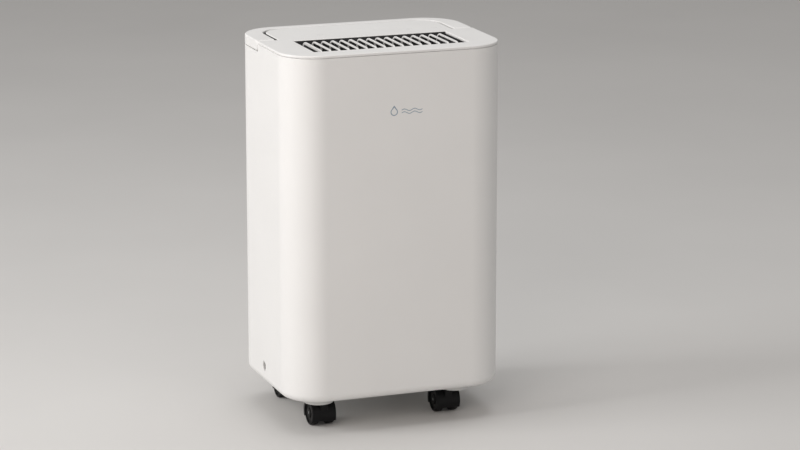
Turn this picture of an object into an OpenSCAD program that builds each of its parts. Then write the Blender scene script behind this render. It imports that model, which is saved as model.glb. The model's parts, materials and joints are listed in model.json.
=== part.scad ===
// Compact portable dehumidifier on four swivel casters.
// Frame: origin on the floor under the middle of the casing, +Z up,
// front of the casing at -Y, water tank and air inlet at +Y.

/* [Casing] */
// Width of the casing
body_w = 264; // [262:1:274]
// Depth of the casing
body_d = 200; // [199:1:206]
// Height of the casing above its flat bottom
body_h = 404; // [402:1:410]
// Radius of the upright corners, seen from above
corner_r = 44; // [42:1:45]
// Radius of the rolled lower edge
bottom_r = 10; // [9.5:0.5:12]
// Wall thickness of the mouldings
wall = 2.5; // [2.2:0.1:2.8]

/* [Air outlet] */
// Width of the outlet in the top
slot_w = 186; // [180:1:190]
// Front edge of the outlet
slot_front = -72.5; // [-75:0.5:-70]
// Rear edge of the outlet
slot_back = 3; // [0:1:4]
// Number of upright outlet fins
fin_count = 16; // [12:1:18]
// Thickness of one outlet fin
fin_t = 2; // [1.6:0.1:2.4]

/* [Carry handle] */
// Half width of the deck between the handle's arms
deck_half_w = 106.4; // [105:0.1:107]
// Rear edge of the deck
deck_back = 83.5; // [82:0.1:84]
// Thickness of the handle
handle_t = 11.8; // [11.4:0.1:11.8]
// Distance of the handle's pivot behind the middle
pivot_y = 21.5; // [21:0.5:23]

/* [Casters] */
// Distance of the swivel axes from the middle, sideways
caster_x = 77; // [75:1:78]
// Distance of the swivel axes from the middle, front and back
caster_y = 59; // [58:1:60]
// Wheel radius
wheel_r = 14.5; // [13.5:0.5:14.5]
// How far the wheel axis trails behind the swivel axis
trail = 8; // [6:1:9]

/* [Water tank] */
// Half width of the bucket
tank_half_w = 85; // [82:1:85]
// Height of the bucket's rim above the floor
tank_top = 190; // [180:1:190]

/* [Fan] */
// Radius of the impeller
fan_r = 60; // [54:1:62]
// Height of the fan's axis above the floor
fan_z = 312; // [310:1:314]
// Number of impeller blades
blade_count = 30; // [24:1:36]

/* [Hidden] */
$fn = 64;
floor_gap = 38;                      // flat bottom of the casing above the floor
base_z = floor_gap;
top_z = floor_gap + body_h;
front_y = -body_d / 2;
back_y = body_d / 2;
side_x = body_w / 2;
seam_y = back_y - corner_r;          // joint between the front and rear shells
lid_t = 3.4;                         // thickness of the top moulding
lid_z = top_z - lid_t;
shadow_gap = 0.3;
hairline = 0.1;                      // joint between skins that are clipped edge to edge
handle_z = top_z - handle_t;
rail_z = handle_z - 0.5;             // rim of the shells under the handle
pocket_y = 14.5;                     // front end of the pocket that the handle lies in
pocket_z = rail_z - 3.2;
seal_t = 1.2;
handle_gap = 3.2;                    // from the deck's edge to the handle's inner face
deck_r = 24;
pivot_z = top_z - handle_t / 2;
pin_r = 3;
pin_x0 = deck_half_w - 8.6;
pin_x1 = deck_half_w + 13.4;
run_clear = 0.05;                    // radial clearance of a running shaft

plate_t = 3;                         // base plate
plate_top = base_z + plate_t;
boss_r = 17;
boss_out = 7;                        // the boss reaches outward past the swivel axis
caster_shift = -5;                   // the caster pattern sits left of the middle
boss_drop = 6;                       // caster boss below the flat bottom
boss_z = base_z - boss_drop;
stem_r = 4;
stem_top = 49;
socket_top = 51;
hood_r = 16.8;
hood_in_r = 15.1;
hood_half_w = 14.6;
web_half_w = 4.4;
web_r = 10.3;                        // web between the wheels, round the axle
wheel_in = 5;                        // inner face of a wheel from the caster's middle
wheel_out = 14;
axle_r = 2;

tank_y0 = 9;
tank_y1 = back_y - 3.5;
tank_z0 = 56;
tank_wall = 2;
lid_plate_t = 3;
face_half_w = 86;
face_z0 = 54;
face_z1 = 220;
face_y0 = back_y - 3;
face_gap = 0.6;
grip_half_w = 45;
grip_z0 = 196;
grip_z1 = 217;
grip_y0 = 78;
window_x = 66;
window_w = 8;
window_z0 = 70;
window_z1 = 184;
inlet_x = 20;                        // drip hole in the tank's lid
inlet_y = 50;
float_x = -55;
float_pivot_y = 24;
float_pivot_z = 180;
float_pin_r = 2;

bay_half_w = 88.5;                   // tank bay inside the chassis
bay_front = 4;
bay_wall = 2.5;
shelf_z = 223;
shelf_t = 3;

grille_half_w = 86;
grille_z0 = 244;
grille_z1 = 404;
grille_t = 3.5;
slat_pitch = 8;

coil_half_w = 86;
coil_z0 = 240;
coil_z1 = 400;
coil_d = 20;
evaporator_y = 72;
condenser_y = 46;
tube_r = 3.5;
tube_rows = 8;
tube_pitch = 20;
tube_z0 = 250;
tube_z1 = tube_z0 + (tube_rows - 1) * tube_pitch;
coil_end_x = coil_half_w + 8;
coil_fin_pitch = 6;
coil_fins = 28;

scroll_r = 76;
scroll_wall = 3;
scroll_y0 = -62;
scroll_y1 = -4;
scroll_top = 411;
collar_gap = 0.3;                    // duct collar inside the outlet slot
collar_t = 1.2;
collar_y0 = slot_front + collar_gap;
collar_y1 = slot_back - collar_gap;
collar_x = slot_w / 2 - collar_gap;
collar_top = top_z - 0.8;
blade_y0 = collar_y0 + collar_t + 0.2;
blade_y1 = collar_y1 - collar_t - 0.2;
blade_r = 11;
blade_depth = 2;
blade_top = top_z - 0.4;
blade_foot = lid_z - 24.8;
shaft_r = 3;
ring_w = 9.5;                        // width of the impeller's end rings

drain_y = 3;
drain_z = floor_gap + 21.5;
drain_r = 6;
drain_bore_r = 4.6;
gland_x = 50;
gland_z = 233.5;
gland_r = 7;
gland_bore_r = 3.5;
screw_x = 76;
post_y = back_y - 6;                  // rear end of the posts that the cover screws go into
screw_z = [232, 412];
tab_z = 50;
tab_in = bottom_r - 5;                // screw tabs end inside the rolled edge
base_screw_at = [[110, 0], [-110, 0], [25, -80], [-25, -80], [25, 80], [-25, 80]];

comp_x = -10;                        // compressor
comp_y = -52;
comp_r = 40;
foot_h = 15;
comp_feet = [[-50, 0], [50, 0], [0, 46]];
accu_x = 48;
accu_y = -70;

white = [0.93, 0.93, 0.92];
off_white = [0.88, 0.88, 0.87];
black = [0.06, 0.06, 0.06];
dark = [0.14, 0.14, 0.15];
grey = [0.45, 0.46, 0.47];
steel = [0.7, 0.71, 0.72];
copper = [0.78, 0.45, 0.3];

CORNERS = [[-1, -1], [1, -1], [-1, 1], [1, 1]];

// ---------- shared shapes ----------

// A box given by its low and high corners.
module box(low, high) {
    translate(low) cube(high - low);
}

// A box and its mirror image about the middle.
module box_pair(low, high) {
    box(low, high);
    mirror([1, 0, 0]) box(low, high);
}

module rod_x(r, x0, x1) {
    translate([x0, 0, 0]) rotate([0, 90, 0]) cylinder(r = r, h = x1 - x0);
}

// A cylinder along Y between two places.
module rod_y(r, y0, y1) {
    translate([0, y1, 0]) rotate([90, 0, 0]) cylinder(r = r, h = y1 - y0);
}

module round_rect(w, d, r) {
    square([w - 2 * r, d], center = true);
    square([w, d - 2 * r], center = true);
    for (c = CORNERS)
        translate([c[0] * (w / 2 - r), c[1] * (d / 2 - r)]) circle(r);
}

// Outline of the casing from above, drawn in by an inset.
module outline(inset) {
    round_rect(body_w - 2 * inset, body_d - 2 * inset, corner_r - inset);
}

// Everything between two lines across the casing.
module band_2d(y0, y1) {
    translate([-body_w, y0]) square([2 * body_w, y1 - y0]);
}

module wall_2d(y0, y1) {
    intersection() {
        difference() {
            outline(0);
            outline(wall);
        }
        band_2d(y0, y1);
    }
}

// Section of the rolled lower edge: a quarter ring.
module roll_2d() {
    intersection() {
        translate([corner_r - bottom_r, bottom_r]) difference() {
            circle(bottom_r);
            circle(bottom_r - wall);
        }
        translate([corner_r - bottom_r, 0]) square(bottom_r);
    }
}

module roll_corner(sx, turn, y) {
    translate([sx * (side_x - corner_r), y, base_z]) rotate([0, 0, turn])
        rotate_extrude(angle = 90) roll_2d();
}

module roll_run(length) {
    rotate([90, 0, 0]) linear_extrude(length, center = true) roll_2d();
}

// Deck between the arms of the handle, grown by a margin.
module deck_2d(grow) {
    half = deck_half_w + grow;
    back = deck_back + grow;
    r = deck_r + grow;
    translate([-half, pocket_y]) square([2 * half, back - r - pocket_y]);
    translate([r - half, pocket_y]) square([2 * (half - r), back - pocket_y]);
    for (s = [-1, 1])
        translate([s * (half - r), back - r]) circle(r);
}

// A pipe through a list of points.
module pipe(points, r) {
    for (i = [0 : len(points) - 2]) {
        step = points[i + 1] - points[i];
        length = norm(step);
        translate(points[i])
            rotate([0, acos(step[2] / length), atan2(step[1], step[0])])
                cylinder(r = r, h = length);
    }
    for (i = [1 : len(points) - 2])
        translate(points[i]) sphere(1.03 * r);
}

// ---------- casing ----------

module front_cover() {
    color(white) difference() {
        union() {
            translate([0, 0, base_z + bottom_r])
                linear_extrude(rail_z - base_z - bottom_r) wall_2d(-body_d, seam_y);
            translate([0, 0, rail_z])
                linear_extrude(lid_z - shadow_gap - rail_z) wall_2d(-body_d, pocket_y);
            roll_corner(-1, 180, -seam_y);
            roll_corner(1, 270, -seam_y);
            translate([side_x - corner_r, 0, base_z]) roll_run(2 * seam_y);
            translate([corner_r - side_x, 0, base_z]) rotate([0, 0, 180]) roll_run(2 * seam_y);
            translate([0, front_y + corner_r, base_z]) rotate([0, 0, -90])
                roll_run(body_w - 2 * corner_r);
            box_pair([104, -6, plate_top], [side_x - tab_in, 6, tab_z]);
            box_pair([19, front_y + tab_in, plate_top], [31, -74, tab_z]);
        }
        // hairline joints between the front skin and the two side skins
        box([-body_w, -seam_y - hairline, 0], [body_w, -seam_y, top_z]);
        translate([0, drain_y, drain_z]) rod_x(drain_r, -side_x - 1, wall - side_x + 1);
        for (p = [for (i = [0 : 3]) base_screw_at[i]])
            translate([p[0], p[1], base_z]) cylinder(r = 1.7, h = tab_z);
    }
}

module rear_cover() {
    color(white) difference() {
        union() {
            translate([0, 0, base_z + bottom_r])
                linear_extrude(rail_z - base_z - bottom_r) wall_2d(seam_y, body_d);
            roll_corner(-1, 90, seam_y);
            roll_corner(1, 0, seam_y);
            translate([0, back_y - corner_r, base_z]) rotate([0, 0, 90])
                roll_run(body_w - 2 * corner_r);
            box_pair([19, 74, plate_top], [31, back_y - tab_in, tab_z]);
            for (x = [-screw_x, screw_x], z = screw_z)
                translate([x, 0, z]) rod_y(6.5, post_y, back_y - wall / 2);
        }
        box([-face_half_w - face_gap, 90, face_z0 - face_gap],
            [face_half_w + face_gap, back_y + 1, face_z1 + face_gap]);
        box([-grille_half_w - face_gap, 90, grille_z0 - face_gap],
            [grille_half_w + face_gap, back_y + 1, grille_z1 + face_gap]);
        // hairline joints between the corner skins and the bands above, between and below the windows
        box_pair([face_half_w + face_gap - hairline, 0, 0], [face_half_w + face_gap, body_d, top_z]);
        translate([gland_x, 0, gland_z]) rod_y(gland_r, 90, back_y + 1);
        for (x = [-screw_x, screw_x], z = screw_z) translate([x, 0, z]) {
            rod_y(1.8, 90, back_y + 1);
            rod_y(4, back_y - 2, back_y + 1);
        }
        for (p = [for (i = [4 : 5]) base_screw_at[i]])
            translate([p[0], p[1], base_z]) cylinder(r = 1.7, h = tab_z);
    }
}

module top_cover() {
    slot_skirt = 24;
    color(white) difference() {
        union() {
            translate([0, 0, lid_z]) linear_extrude(lid_t) {
                intersection() {
                    outline(0);
                    band_2d(-body_d, pocket_y);
                }
                deck_2d(0);
            }
            // spigot inside the shell
            translate([0, 0, lid_z - 6]) linear_extrude(6) intersection() {
                difference() {
                    outline(wall + 0.1);
                    outline(2 * wall);
                }
                band_2d(-body_d, pocket_y);
            }
            // walls round the outlet
            box([-slot_w / 2 - 2, slot_front - 2, lid_z - slot_skirt],
                [slot_w / 2 + 2, slot_back + 2, lid_z + 1]);
            // side walls of the deck, and the pocket under the handle
            translate([0, 0, pocket_z]) linear_extrude(lid_z - pocket_z) difference() {
                deck_2d(0);
                deck_2d(-wall);
            }
            translate([0, 0, pocket_z]) linear_extrude(wall) difference() {
                intersection() {
                    outline(wall);
                    band_2d(pocket_y - wall, body_d);
                }
                deck_2d(-wall);
                translate([0, pocket_y - wall / 2])
                    square([2 * deck_half_w - 2 * wall, wall], center = true);
            }
            box_pair([deck_half_w - wall, pocket_y - wall, pocket_z],
                     [side_x - wall, pocket_y, lid_z + 1]);
            // bearings of the handle's pins
            box_pair([pin_x0 - 1, pivot_y - 5, pivot_z - 6],
                     [deck_half_w - wall, pivot_y + 5, lid_z + 1]);
            // posts of the upper rear screws
            box_pair([screw_x - 5, post_y - 10, screw_z[1] - 6],
                     [screw_x + 5, post_y, pocket_z + 1]);
        }
        box([-slot_w / 2, slot_front, lid_z - slot_skirt - 1], [slot_w / 2, slot_back, top_z + 1]);
        translate([0, pivot_y, pivot_z]) rod_x(pin_r, -deck_half_w - 1, deck_half_w + 1);
        for (x = [-screw_x, screw_x])
            translate([x, 0, screw_z[1]]) rod_y(1.8, 80, post_y + 1);
    }
}

module base_pan() {
    color(off_white) difference() {
        union() {
            translate([0, 0, base_z]) linear_extrude(plate_t) outline(bottom_r);
            for (c = CORNERS) at_caster(c[0], c[1]) {
                translate([c[0] * boss_out, c[1] * boss_out, boss_z]) cylinder(r = boss_r, h = boss_drop + 1);
                translate([0, 0, base_z]) cylinder(r = 6.2, h = socket_top - base_z);
            }
            box_pair([50, tank_y0, base_z + 1], [56, back_y - bottom_r - 0.5, tank_z0 - 0.4]);
            for (p = comp_feet)
                translate([comp_x + p[0], comp_y + p[1], base_z + 1]) cylinder(r = 7, h = plate_t);
        }
        for (c = CORNERS) at_caster(c[0], c[1]) translate([0, 0, boss_z - 1])
            cylinder(r = stem_r + run_clear, h = stem_top + 0.6 - boss_z + 1);
        for (p = base_screw_at) translate([p[0], p[1], base_z - 1]) {
            cylinder(r = 1.7, h = plate_t + 2);
            cylinder(r = 4.2, h = 2.8);
        }
        for (p = comp_feet)
            translate([comp_x + p[0], comp_y + p[1], base_z - 1]) cylinder(r = 2, h = 10);
    }
}

module chassis() {
    color(grey) difference() {
        union() {
            box([-bay_half_w - bay_wall, bay_front, plate_top],
                [bay_half_w + bay_wall, bay_front + bay_wall, shelf_z]);
            box_pair([bay_half_w, bay_front, plate_top],
                     [bay_half_w + bay_wall, back_y - bottom_r - 0.5, shelf_z]);
            box([-bay_half_w - bay_wall, bay_front, shelf_z],
                [bay_half_w + bay_wall, post_y, shelf_z + shelf_t]);
            box_pair([screw_x - 5, 89, shelf_z], [screw_x + 5, post_y, screw_z[0] + 6]);
        }
        translate([inlet_x, inlet_y, shelf_z - 1]) cylinder(r = 6.5, h = shelf_t + 2);
        for (x = [-screw_x, screw_x])
            translate([x, 0, screw_z[0]]) rod_y(1.8, 80, post_y + 1);
    }
}

// Side view of an outlet blade: flat on top, rolled down at both ends.
module blade_2d(inset) {
    hull() {
        for (y = [blade_y0 + blade_r, blade_y1 - blade_r])
            translate([y, blade_top - blade_r]) circle(blade_r - inset);
        translate([blade_y0 + inset, blade_foot - inset])
            square([blade_y1 - blade_y0 - 2 * inset, 1]);
    }
}

// Arched blades side by side; the outer two are closed cheeks.
module outlet_grille() {
    pitch = slot_w / (fin_count + 1);
    color(white)
        for (i = [1 : fin_count])
            translate([i * pitch - slot_w / 2 - fin_t / 2, 0, 0])
                rotate([90, 0, 90]) linear_extrude(fin_t) difference() {
                    blade_2d(0);
                    if (i > 1 && i < fin_count) blade_2d(blade_depth);
                }
}

module carry_handle() {
    color(white) difference() {
        union() {
            translate([0, 0, handle_z]) linear_extrude(handle_t) difference() {
                intersection() {
                    outline(0);
                    band_2d(pivot_y, body_d);
                }
                deck_2d(handle_gap);
            }
            for (s = [-1, 1]) translate([0, pivot_y, pivot_z])
                mirror([s < 0 ? 1 : 0, 0, 0])
                    rod_x(handle_t / 2, deck_half_w + handle_gap, side_x);
        }
        translate([0, pivot_y, pivot_z]) {
            rod_x(pin_r + run_clear, -pin_x1 - 1, 0);
            rod_x(pin_r + run_clear, 0, pin_x1 + 1);
        }
        // finger notch under the rear bar
        box([-42, back_y - 6, handle_z - 1], [42, back_y + 1, handle_z + 6]);
    }
}

module handle_pins() {
    color(steel) translate([0, pivot_y, pivot_z]) {
        rod_x(pin_r, -pin_x1, -pin_x0);
        rod_x(pin_r, pin_x0, pin_x1);
    }
}

module handle_seal() {
    color(black) difference() {
        translate([0, 0, handle_z + 0.5]) linear_extrude(handle_t - 1.6) difference() {
            deck_2d(seal_t);
            deck_2d(0);
            band_2d(0, pocket_y + 1);
        }
        translate([0, pivot_y, pivot_z]) rod_x(pin_r + 0.2, -body_w, body_w);
    }
}

// ---------- controls and electrics ----------

module control_board() {
    color("darkgreen") {
        box([-98, 30, lid_z - 5], [98, 60, lid_z - 3.4]);
        for (x = [-54, -18, 18, 54, 90])
            translate([x, 36, lid_z - 3.4]) cylinder(r = 5, h = 3.4);
    }
}

module board_box() {
    color(black) difference() {
        box([72, -66, 62], [126, -12, 196]);
        box([74, -64, 64], [124, -14, 197]);
    }
}

module main_board() {
    color("darkgreen") {
        box([78, -40, 66], [80, -16, 190]);
        box([80, -36, 80], [104, -18, 112]);
        translate([80, -28, 140]) rod_x(8, 0, 26);
        box([74, -38, 70], [78, -34, 186]);
    }
}

module run_capacitor() {
    color("silver") translate([112, 24, 110]) {
        cylinder(r = 15, h = 60);
        translate([-5, 0, 60]) cylinder(r = 2, h = 6);
        translate([5, 0, 60]) cylinder(r = 2, h = 6);
        box([-18, -3, 8], [-15, 3, 52]);
    }
}

module humidity_sensor() {
    color(off_white) box([94, 76, 322], [104, 84, 340]);
}

module level_sensor() {
    color(black) box([float_x - 8, bay_front - 4, 150], [float_x + 8, bay_front, 172]);
}

module cable_gland() {
    color(black) translate([gland_x, 0, gland_z]) difference() {
        union() {
            rod_y(gland_r, 88, back_y);
            rod_y(gland_r + 2.5, back_y - wall - 3, back_y - wall);
        }
        rod_y(gland_bore_r, 87, back_y + 1);
    }
}

module drain_socket() {
    color(off_white) translate([0, drain_y, drain_z]) difference() {
        union() {
            rod_x(drain_r, -side_x + 0.4, -side_x + 24);
            rod_x(drain_r + 2, -side_x + wall + 0.2, -side_x + wall + 2.7);
        }
        rod_x(drain_bore_r, -side_x, -side_x + 25);
    }
}

// ---------- refrigeration ----------

module compressor() {
    foot_z = plate_top + foot_h;
    shell_z0 = foot_z + 3;
    shell_z1 = 200;
    dome = 12;
    color([0.1, 0.1, 0.11]) {
        difference() {
            union() {
                translate([comp_x, comp_y, foot_z]) cylinder(r = 24, h = 6);
                for (p = comp_feet)
                    translate([comp_x, comp_y, foot_z]) rotate([0, 0, atan2(p[1], p[0])])
                        box([0, -8, 0], [norm(p), 8, 3]);
                for (p = comp_feet)
                    translate([comp_x + p[0], comp_y + p[1], foot_z]) cylinder(r = 8, h = 3);
            }
            for (p = comp_feet)
                translate([comp_x + p[0], comp_y + p[1], foot_z - 1]) cylinder(r = 4, h = 6);
        }
        translate([comp_x, comp_y, 0]) {
            translate([0, 0, shell_z0 + dome]) cylinder(r = comp_r, h = shell_z1 - shell_z0 - 2 * dome);
            translate([0, 0, shell_z0]) cylinder(r1 = comp_r - dome, r2 = comp_r, h = dome);
            translate([0, 0, shell_z1 - dome]) cylinder(r1 = comp_r, r2 = comp_r - dome, h = dome);
            translate([12, 6, shell_z1 - 1]) cylinder(r = 9, h = 8);
        }
    }
}

module compressor_feet() {
    color(black) for (p = comp_feet)
        translate([comp_x + p[0], comp_y + p[1], plate_top + 1]) difference() {
            union() {
                cylinder(r = 8, h = foot_h - 1);
                cylinder(r = 4, h = foot_h + 3);
            }
            translate([0, 0, -1]) cylinder(r = 2, h = foot_h + 6);
        }
}

module compressor_bolts() {
    color(steel) for (p = comp_feet)
        translate([comp_x + p[0], comp_y + p[1], base_z]) {
            cylinder(r = 2, h = plate_t + foot_h + 3);
            translate([0, 0, plate_t + foot_h + 4]) cylinder(r = 4.5, h = 4, $fn = 6);
            translate([0, 0, plate_t + foot_h + 2]) cylinder(r = 2, h = 3);
        }
}

module accumulator() {
    color([0.1, 0.1, 0.11]) translate([accu_x, accu_y, 0]) {
        translate([0, 0, 98]) cylinder(r = 16, h = 64);
        translate([0, 0, 90]) cylinder(r1 = 6, r2 = 16, h = 8);
        translate([0, 0, 162]) cylinder(r1 = 16, r2 = 6, h = 8);
    }
    color(copper) pipe([[accu_x, accu_y, 91], [accu_x, accu_y, 82],
                        [comp_x + 36, comp_y - 14, 82]], 3.5);
}

module suction_pipe() {
    side = coil_half_w + 32;
    run_z = 208;
    color(copper) pipe([[accu_x, accu_y, 170], [accu_x, accu_y, run_z], [side, accu_y, run_z],
                        [side, evaporator_y, run_z], [side, evaporator_y, tube_z0],
                        [coil_end_x, evaporator_y, tube_z0]], 3.5);
}

module discharge_pipe() {
    side = coil_half_w + 28;
    run_z = 217;
    color(copper) pipe([[comp_x, comp_y, 200], [comp_x, comp_y, run_z], [side, comp_y, run_z],
                        [side, condenser_y, run_z], [side, condenser_y, tube_z1],
                        [coil_end_x, condenser_y, tube_z1]], 3);
}

module capillary_tube() {
    side = coil_end_x + 5;
    mid_y = (condenser_y + evaporator_y) / 2;
    color(copper) pipe([[coil_end_x, condenser_y, tube_z0], [side, condenser_y, tube_z0],
                        [side, mid_y, tube_z0], [side, mid_y, tube_z1],
                        [side, evaporator_y, tube_z1], [coil_end_x, evaporator_y, tube_z1]], 1.2);
}

module coil_fins_at(y) {
    color("gainsboro") {
        for (i = [0 : coil_fins - 1])
            translate([(i - (coil_fins - 1) / 2) * coil_fin_pitch - 0.3, y - coil_d / 2, coil_z0])
                cube([0.6, coil_d, coil_z1 - coil_z0]);
        box_pair([coil_half_w - 1.2, y - coil_d / 2, coil_z0 - 2],
                 [coil_half_w, y + coil_d / 2, coil_z1 + 2]);
    }
}

// Straight tubes through the fins, joined by return bends at both sides.
module coil_tubes_at(y) {
    color(copper) {
        for (k = [0 : tube_rows - 1])
            translate([0, y, tube_z0 + k * tube_pitch]) rod_x(tube_r, -coil_end_x, coil_end_x);
        for (k = [0 : tube_rows - 2])
            translate([k % 2 == 0 ? -coil_end_x : coil_end_x, y, tube_z0 + (k + 0.5) * tube_pitch])
                rotate([90, 0, k % 2 == 0 ? 180 : 0]) rotate([0, 0, -90])
                    rotate_extrude(angle = 180) translate([tube_pitch / 2, 0]) circle(tube_r);
    }
}

module evaporator_fins() { coil_fins_at(evaporator_y); }
module evaporator_tubes() { coil_tubes_at(evaporator_y); }
module condenser_fins() { coil_fins_at(condenser_y); }
module condenser_tubes() { coil_tubes_at(condenser_y); }

module drip_tray() {
    tray_z = shelf_z + shelf_t;
    color(off_white) difference() {
        union() {
            box([-98, 32, tray_z], [98, 85.5, tray_z + 11]);
            translate([inlet_x, inlet_y, tank_top + 8]) cylinder(r = 6, h = tray_z - tank_top - 7);
        }
        box([-96, 34, tray_z + 2], [96, 83.5, tray_z + 12]);
        translate([inlet_x, inlet_y, tank_top]) cylinder(r = 4, h = 60);
    }
}

// ---------- fan ----------

// Section of the air duct: a round casing that flares to the outlet.
module scroll_2d(grow) {
    half = slot_w / 2 - 3 + grow;
    translate([0, fan_z]) circle(scroll_r + grow);
    polygon([[-scroll_r - grow, fan_z], [scroll_r + grow, fan_z],
             [half, scroll_top], [-half, scroll_top]]);
}

module upright(y0, y1) {
    translate([0, y1, 0]) rotate([90, 0, 0]) linear_extrude(y1 - y0) children();
}

// Collar that carries the air from the scroll's mouth up to the outlet, with ledges for the blades.
module duct_collar() {
    difference() {
        union() {
            box([-collar_x, collar_y0, scroll_top], [collar_x, collar_y1, blade_foot]);
            box([-collar_x, collar_y0, scroll_top], [collar_x, collar_y0 + collar_t, collar_top]);
            box([-collar_x, collar_y1 - collar_t, scroll_top], [collar_x, collar_y1, collar_top]);
            box_pair([collar_x - collar_t, collar_y0, scroll_top], [collar_x, collar_y1, lid_z - 12]);
        }
        box([-slot_w / 2 + 3, scroll_y0, scroll_top - 1], [slot_w / 2 - 3, scroll_y1, blade_foot + 1]);
    }
}

module fan_scroll() {
    color(dark) difference() {
        union() {
            upright(scroll_y0, scroll_y1) difference() {
                scroll_2d(scroll_wall);
                scroll_2d(0);
            }
            upright(scroll_y1, scroll_y1 + 2.5) scroll_2d(scroll_wall);
            duct_collar();
        }
        translate([0, 0, fan_z]) rod_y(50, scroll_y1 - 1, scroll_y1 + 4);
    }
}

module scroll_cover() {
    color(dark) difference() {
        upright(scroll_y0 - 2.5, scroll_y0) scroll_2d(scroll_wall);
        translate([0, 0, fan_z]) rod_y(12, scroll_y0 - 4, scroll_y0 + 1);
    }
}

module fan_motor() {
    motor_y1 = scroll_y0 - 2.5;
    color(steel) translate([0, 0, fan_z]) difference() {
        union() {
            rod_y(30, motor_y1 - 26, motor_y1);
            rod_y(34, motor_y1 - 14, motor_y1 - 11);
        }
        rod_y(shaft_r + run_clear, motor_y1 - 24, motor_y1 + 1);
    }
}

// Shaft with its hub plate, which the ring of blades is clipped round.
module fan_shaft() {
    y0 = scroll_y0 + 4;
    color(steel) translate([0, 0, fan_z]) {
        rod_y(shaft_r, scroll_y0 - 24, scroll_y1 - 12);
        rod_y(fan_r - ring_w - hairline, y0, y0 + 2.5);
        rod_y(9, y0, y0 + 24);
    }
}

module fan_impeller() {
    y0 = scroll_y0 + 4;
    y1 = scroll_y1 - 4;
    color(black) translate([0, 0, fan_z]) {
        for (y = [y0, y1 - 3])
            difference() {
                rod_y(fan_r, y, y + 3);
                rod_y(fan_r - ring_w, y - 1, y + 4);
                for (a = [0, 60, 120])
                    rotate([0, a, 0]) box([-fan_r - 1, y - 1, 0], [fan_r + 1, y + 4, hairline]);
            }
        for (i = [0 : blade_count - 1])
            rotate([0, i * 360 / blade_count, 0]) translate([fan_r - 5, 0, 0])
                rotate([0, 35, 0]) box([-4.2, y0 + 3 + hairline, -0.6], [4.2, y1 - 3 - hairline, 0.6]);
    }
}

// ---------- inlet and filter ----------

module inlet_grille() {
    y0 = back_y - grille_t;
    border = 9;
    inner_x = grille_half_w - border;
    inner_z = grille_z0 + border;
    inner_h = grille_z1 - grille_z0 - 2 * border;
    slats = floor(inner_h / slat_pitch);
    color(white) {
        difference() {
            box([-grille_half_w, y0, grille_z0], [grille_half_w, back_y, grille_z1]);
            box([-inner_x, y0 - 1, inner_z], [inner_x, back_y + 1, inner_z + inner_h]);
        }
        for (i = [1 : slats - 1])
            translate([0, 0, inner_z + i * inner_h / slats])
                box([-inner_x - 1, y0, -1.3], [inner_x + 1, back_y, 1.3]);
        for (x = [-39, 0, 39])
            box([x - 1.5, y0, inner_z - 1], [x + 1.5, back_y - 1, inner_z + inner_h + 1]);
        // rails that the filter clips into
        box_pair([grille_half_w - 5, back_y - 13, grille_z0 + 4],
                 [grille_half_w - 2, y0 - hairline, grille_z1 - 4]);
    }
}

module filter_frame() {
    y0 = back_y - 11;
    half = grille_half_w - 5;
    z0 = grille_z0 + 4;
    z1 = grille_z1 - 4;
    color(black) {
        difference() {
            box([-half, y0, z0], [half, y0 + 5, z1]);
            box([6 - half, y0 - 1, z0 + 6], [half - 6, y0 + 6, z1 - 6]);
        }
        for (x = [-25, 25])
            box([x - 1.5, y0, z0 + 5], [x + 1.5, y0 + 2, z1 - 5]);
        box([-half + 5, y0, (z0 + z1) / 2 - 1.5], [half - 5, y0 + 2, (z0 + z1) / 2 + 1.5]);
    }
}

module filter_mesh() {
    half = grille_half_w - 11;
    color([0.3, 0.3, 0.32])
        box([-half, back_y - 9, grille_z0 + 10], [half, back_y - 8.2, grille_z1 - 10]);
}

// ---------- water tank ----------

module water_tank() {
    color([0.8, 0.86, 0.9, 0.6]) difference() {
        box([-tank_half_w, tank_y0, tank_z0], [tank_half_w, tank_y1, tank_top]);
        box([tank_wall - tank_half_w, tank_y0 + tank_wall, tank_z0 + tank_wall],
            [tank_half_w - tank_wall, tank_y1 - tank_wall, tank_top + 1]);
    }
}

module tank_lid() {
    ear_x = 9;
    color(off_white) difference() {
        union() {
            box([-tank_half_w, tank_y0, tank_top], [tank_half_w, tank_y1, tank_top + lid_plate_t]);
            box([tank_wall + 0.5 - tank_half_w, tank_y0 + tank_wall + 0.5, tank_top - 4],
                [4.5 - tank_half_w, tank_y1 - tank_wall - 0.5, tank_top + 1]);
            for (x = [float_x - ear_x - 3, float_x + ear_x])
                box([x, float_pivot_y - 5, float_pivot_z - 5], [x + 3, float_pivot_y + 5, tank_top + 1]);
        }
        translate([inlet_x, inlet_y, tank_top - 1]) cylinder(r = 11, h = 6);
        translate([0, float_pivot_y, float_pivot_z])
            rod_x(float_pin_r + run_clear, float_x - 20, float_x + 20);
    }
}

module tank_face() {
    color(white) difference() {
        union() {
            box([-face_half_w, face_y0, face_z0], [face_half_w, back_y, face_z1]);
            box([-grip_half_w - 2, grip_y0 - 2, grip_z0 - 2],
                [grip_half_w + 2, face_y0 + 1, grip_z1 + 2]);
        }
        box([-grip_half_w, grip_y0, grip_z0], [grip_half_w, back_y + 1, grip_z1]);
        box([window_x - window_w / 2, face_y0 - 1, window_z0],
            [window_x + window_w / 2, back_y + 1, window_z1]);
    }
}

module level_window() {
    color([0.75, 0.85, 0.9, 0.5])
        box([window_x - window_w / 2, face_y0, window_z0],
            [window_x + window_w / 2, back_y - 0.4, window_z1]);
}

module tank_float() {
    color(off_white) {
        translate([float_x, float_pivot_y, float_pivot_z]) {
            rod_x(float_pin_r, -11.6, 11.6);
            rod_x(4.5, -8.4, 8.4);
            box([-4, 0, -30], [4, 4.5, 0]);
        }
        box([float_x - 13, float_pivot_y - 4, float_pivot_z - 52],
            [float_x + 13, float_pivot_y + 30, float_pivot_z - 28]);
    }
}

// ---------- fasteners ----------

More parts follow.
